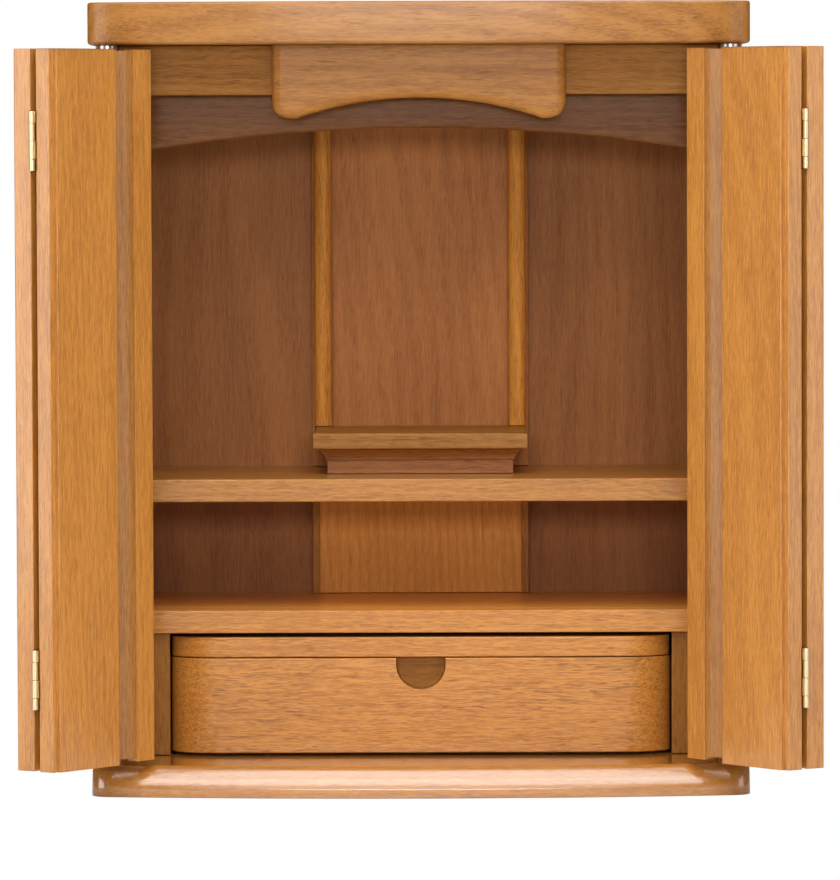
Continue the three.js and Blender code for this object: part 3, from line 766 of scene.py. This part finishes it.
def oak(name, tint, along="X", **changes):
    return wood(name, light=HONEY, dark=HONEY_DARK, pore=HONEY_PORE, along=along, tint=tint, **changes)


def red_oak(name, tint, along="X", **changes):
    return wood(name, light=RED, dark=RED_DARK, pore=RED_PORE, along=along, tint=tint, **changes)


def inner_veneer(name, tint, shift=(0, 0, 0)):
    """Upright veneer cut near the heart, with wide calm rings."""
    return red_oak(name, tint, along="Z", shift=shift, figure=0.12, rings=60, heart=(0.03, -0.2), drift=0.12,
                   pores=0.2, streaks=0.7, **SATIN)


OAK_TOP = oak("oak_top", 0.52, figure=0.35, rings=110, heart=(0.02, -0.44), drift=0.12, shift=(0.1, 0.2, 0),
              streaks=1.2, **SOFT)
OAK_BASE = oak("oak_base", 0.7, shift=(0.9, 0, 0.3), coat=1.0, gloss=0.22, specular=1.0)
OAK_SHELF = oak("oak_shelf", 0.66, shift=(0.3, 0, 0.1), streaks=1.4, **SOFT)
OAK_LOWER_SHELF = oak("oak_lower_shelf", 0.82, shift=(0.5, 0, 0.7), streaks=1.4, **SOFT)
# Painted light: the lower shelf's wood made much brighter for its top faces only.
LIT_SHELF_TOP = oak("lit_shelf_top", 1.4, shift=(0.5, 0, 0.7), coat=0.3)
OAK_TRAY = oak("oak_tray", 0.82, shift=(0.2, 0, 0.9), streaks=1.5, **SOFT)
OAK_DRAWER = oak("oak_drawer", 0.8, shift=(0.7, 0, 0.2), streaks=1.9, pores=0.55, **SOFT)
# The notch's hollow gets a dimmer, less glossy wood than the drawer's front.
OAK_NOTCH = oak("oak_notch", 0.56, shift=(0.7, 0, 0.2), **SATIN)
OAK_PEDESTAL = oak("oak_pedestal", 0.54, shift=(0.4, 0, 0.5), coat=0.1, gloss=0.45, specular=0.2)
OAK_PLINTH = red_oak("oak_plinth", 0.85, shift=(0.4, 0, 0.5), coat=0.3, gloss=0.5, specular=0.1)
OAK_RAIL = oak("oak_rail", 0.5, shift=(0.6, 0, 0.4), **SATIN)
# Darker than the other boards: partly the board's own darker tone, partly painted shade under the rail and the top.
OAK_ARCH_TONE_AND_SHADE = red_oak("oak_arch_tone_and_shade", 0.48, shift=(0.8, 0, 0.6), coat=0.35, gloss=0.55, specular=0.05)
OAK_PLAQUE = oak("oak_plaque", 0.6, shift=(0.15, 0, 0.35), figure=0.25, rings=90, drift=0.1, coat=0.1,
                 gloss=0.42, specular=0.25, streaks=1.3)
OAK_SIDE = oak("oak_side", 0.7, along="Z", shift=(0.3, 0.4, 0))
# Dimmed well below the drawer's wood: painted shade from the doors that stand before the walls beside the drawer.
OAK_CHEEK_PAINTED_SHADE = oak("oak_cheek_painted_shade", 0.46, along="Z", shift=(0.1, 0.8, 0), **SATIN)
OAK_PILLAR = oak("oak_pillar", 1.0, along="Z", shift=(0.5, 0.1, 0), **SATIN)
DOOR_GRAIN = {"along": "Z", "streaks": 1.5, "pores": 0.25, "fine": 1.5}
DOOR_VENEER = {
    "outer": oak("door_oak_outer", 0.74, shift=(0.2, 0.6, 0), **DOOR_GRAIN),
    "inner": oak("door_oak_inner", 0.74, shift=(0.7, 0.3, 0), **DOOR_GRAIN),
}
# Dimmer than the leaves' veneer: painted shade in the groove beside the closing strip.
DOOR_MOULDING_PAINTED_SHADE = oak("door_moulding_painted_shade", 0.5, shift=(0.4, 0.7, 0), **DOOR_GRAIN, **SOFT)
BACK_VENEER = inner_veneer("back_veneer", 0.9)
CENTRE_VENEER = inner_veneer("centre_veneer", 1.2, shift=(0.4, 0.1, 0.3))
# The lower centre panel: its own lighter tone, brightened further as painted light that makes up for the dim lower
# bay.
LOWER_VENEER_PAINTED_LIGHT = oak("lower_veneer_painted_light", 1.12, along="Z", shift=(0.8, 0.1, 0.3), streaks=0.7, pores=0.2, **SATIN)
OAK_STRIP = oak("oak_strip", 0.62, along="Z", shift=(0.5, 0.7, 0), **SATIN)
LINING = wood("lining", "Y", PALE, PALE_DARK, PALE_PORE, coat=0.0, gloss=0.5)
BRASS = metal("brass", tone(238, 216, 172), 0.3, (300, 2500, 2500))
STEEL = metal("steel", tone(205, 206, 208), 0.22, (3000, 300, 300))

make_top()
make_base()
make_case()
make_pillars()
make_pedestal()
make_header()
make_tray()
make_drawer()
make_door("left")
make_door("right")

camera(lens=265.90909, distance=4.42, side=0.006, height=0.4583, down=math.radians(2.80), roll=-0.0033)
studio()
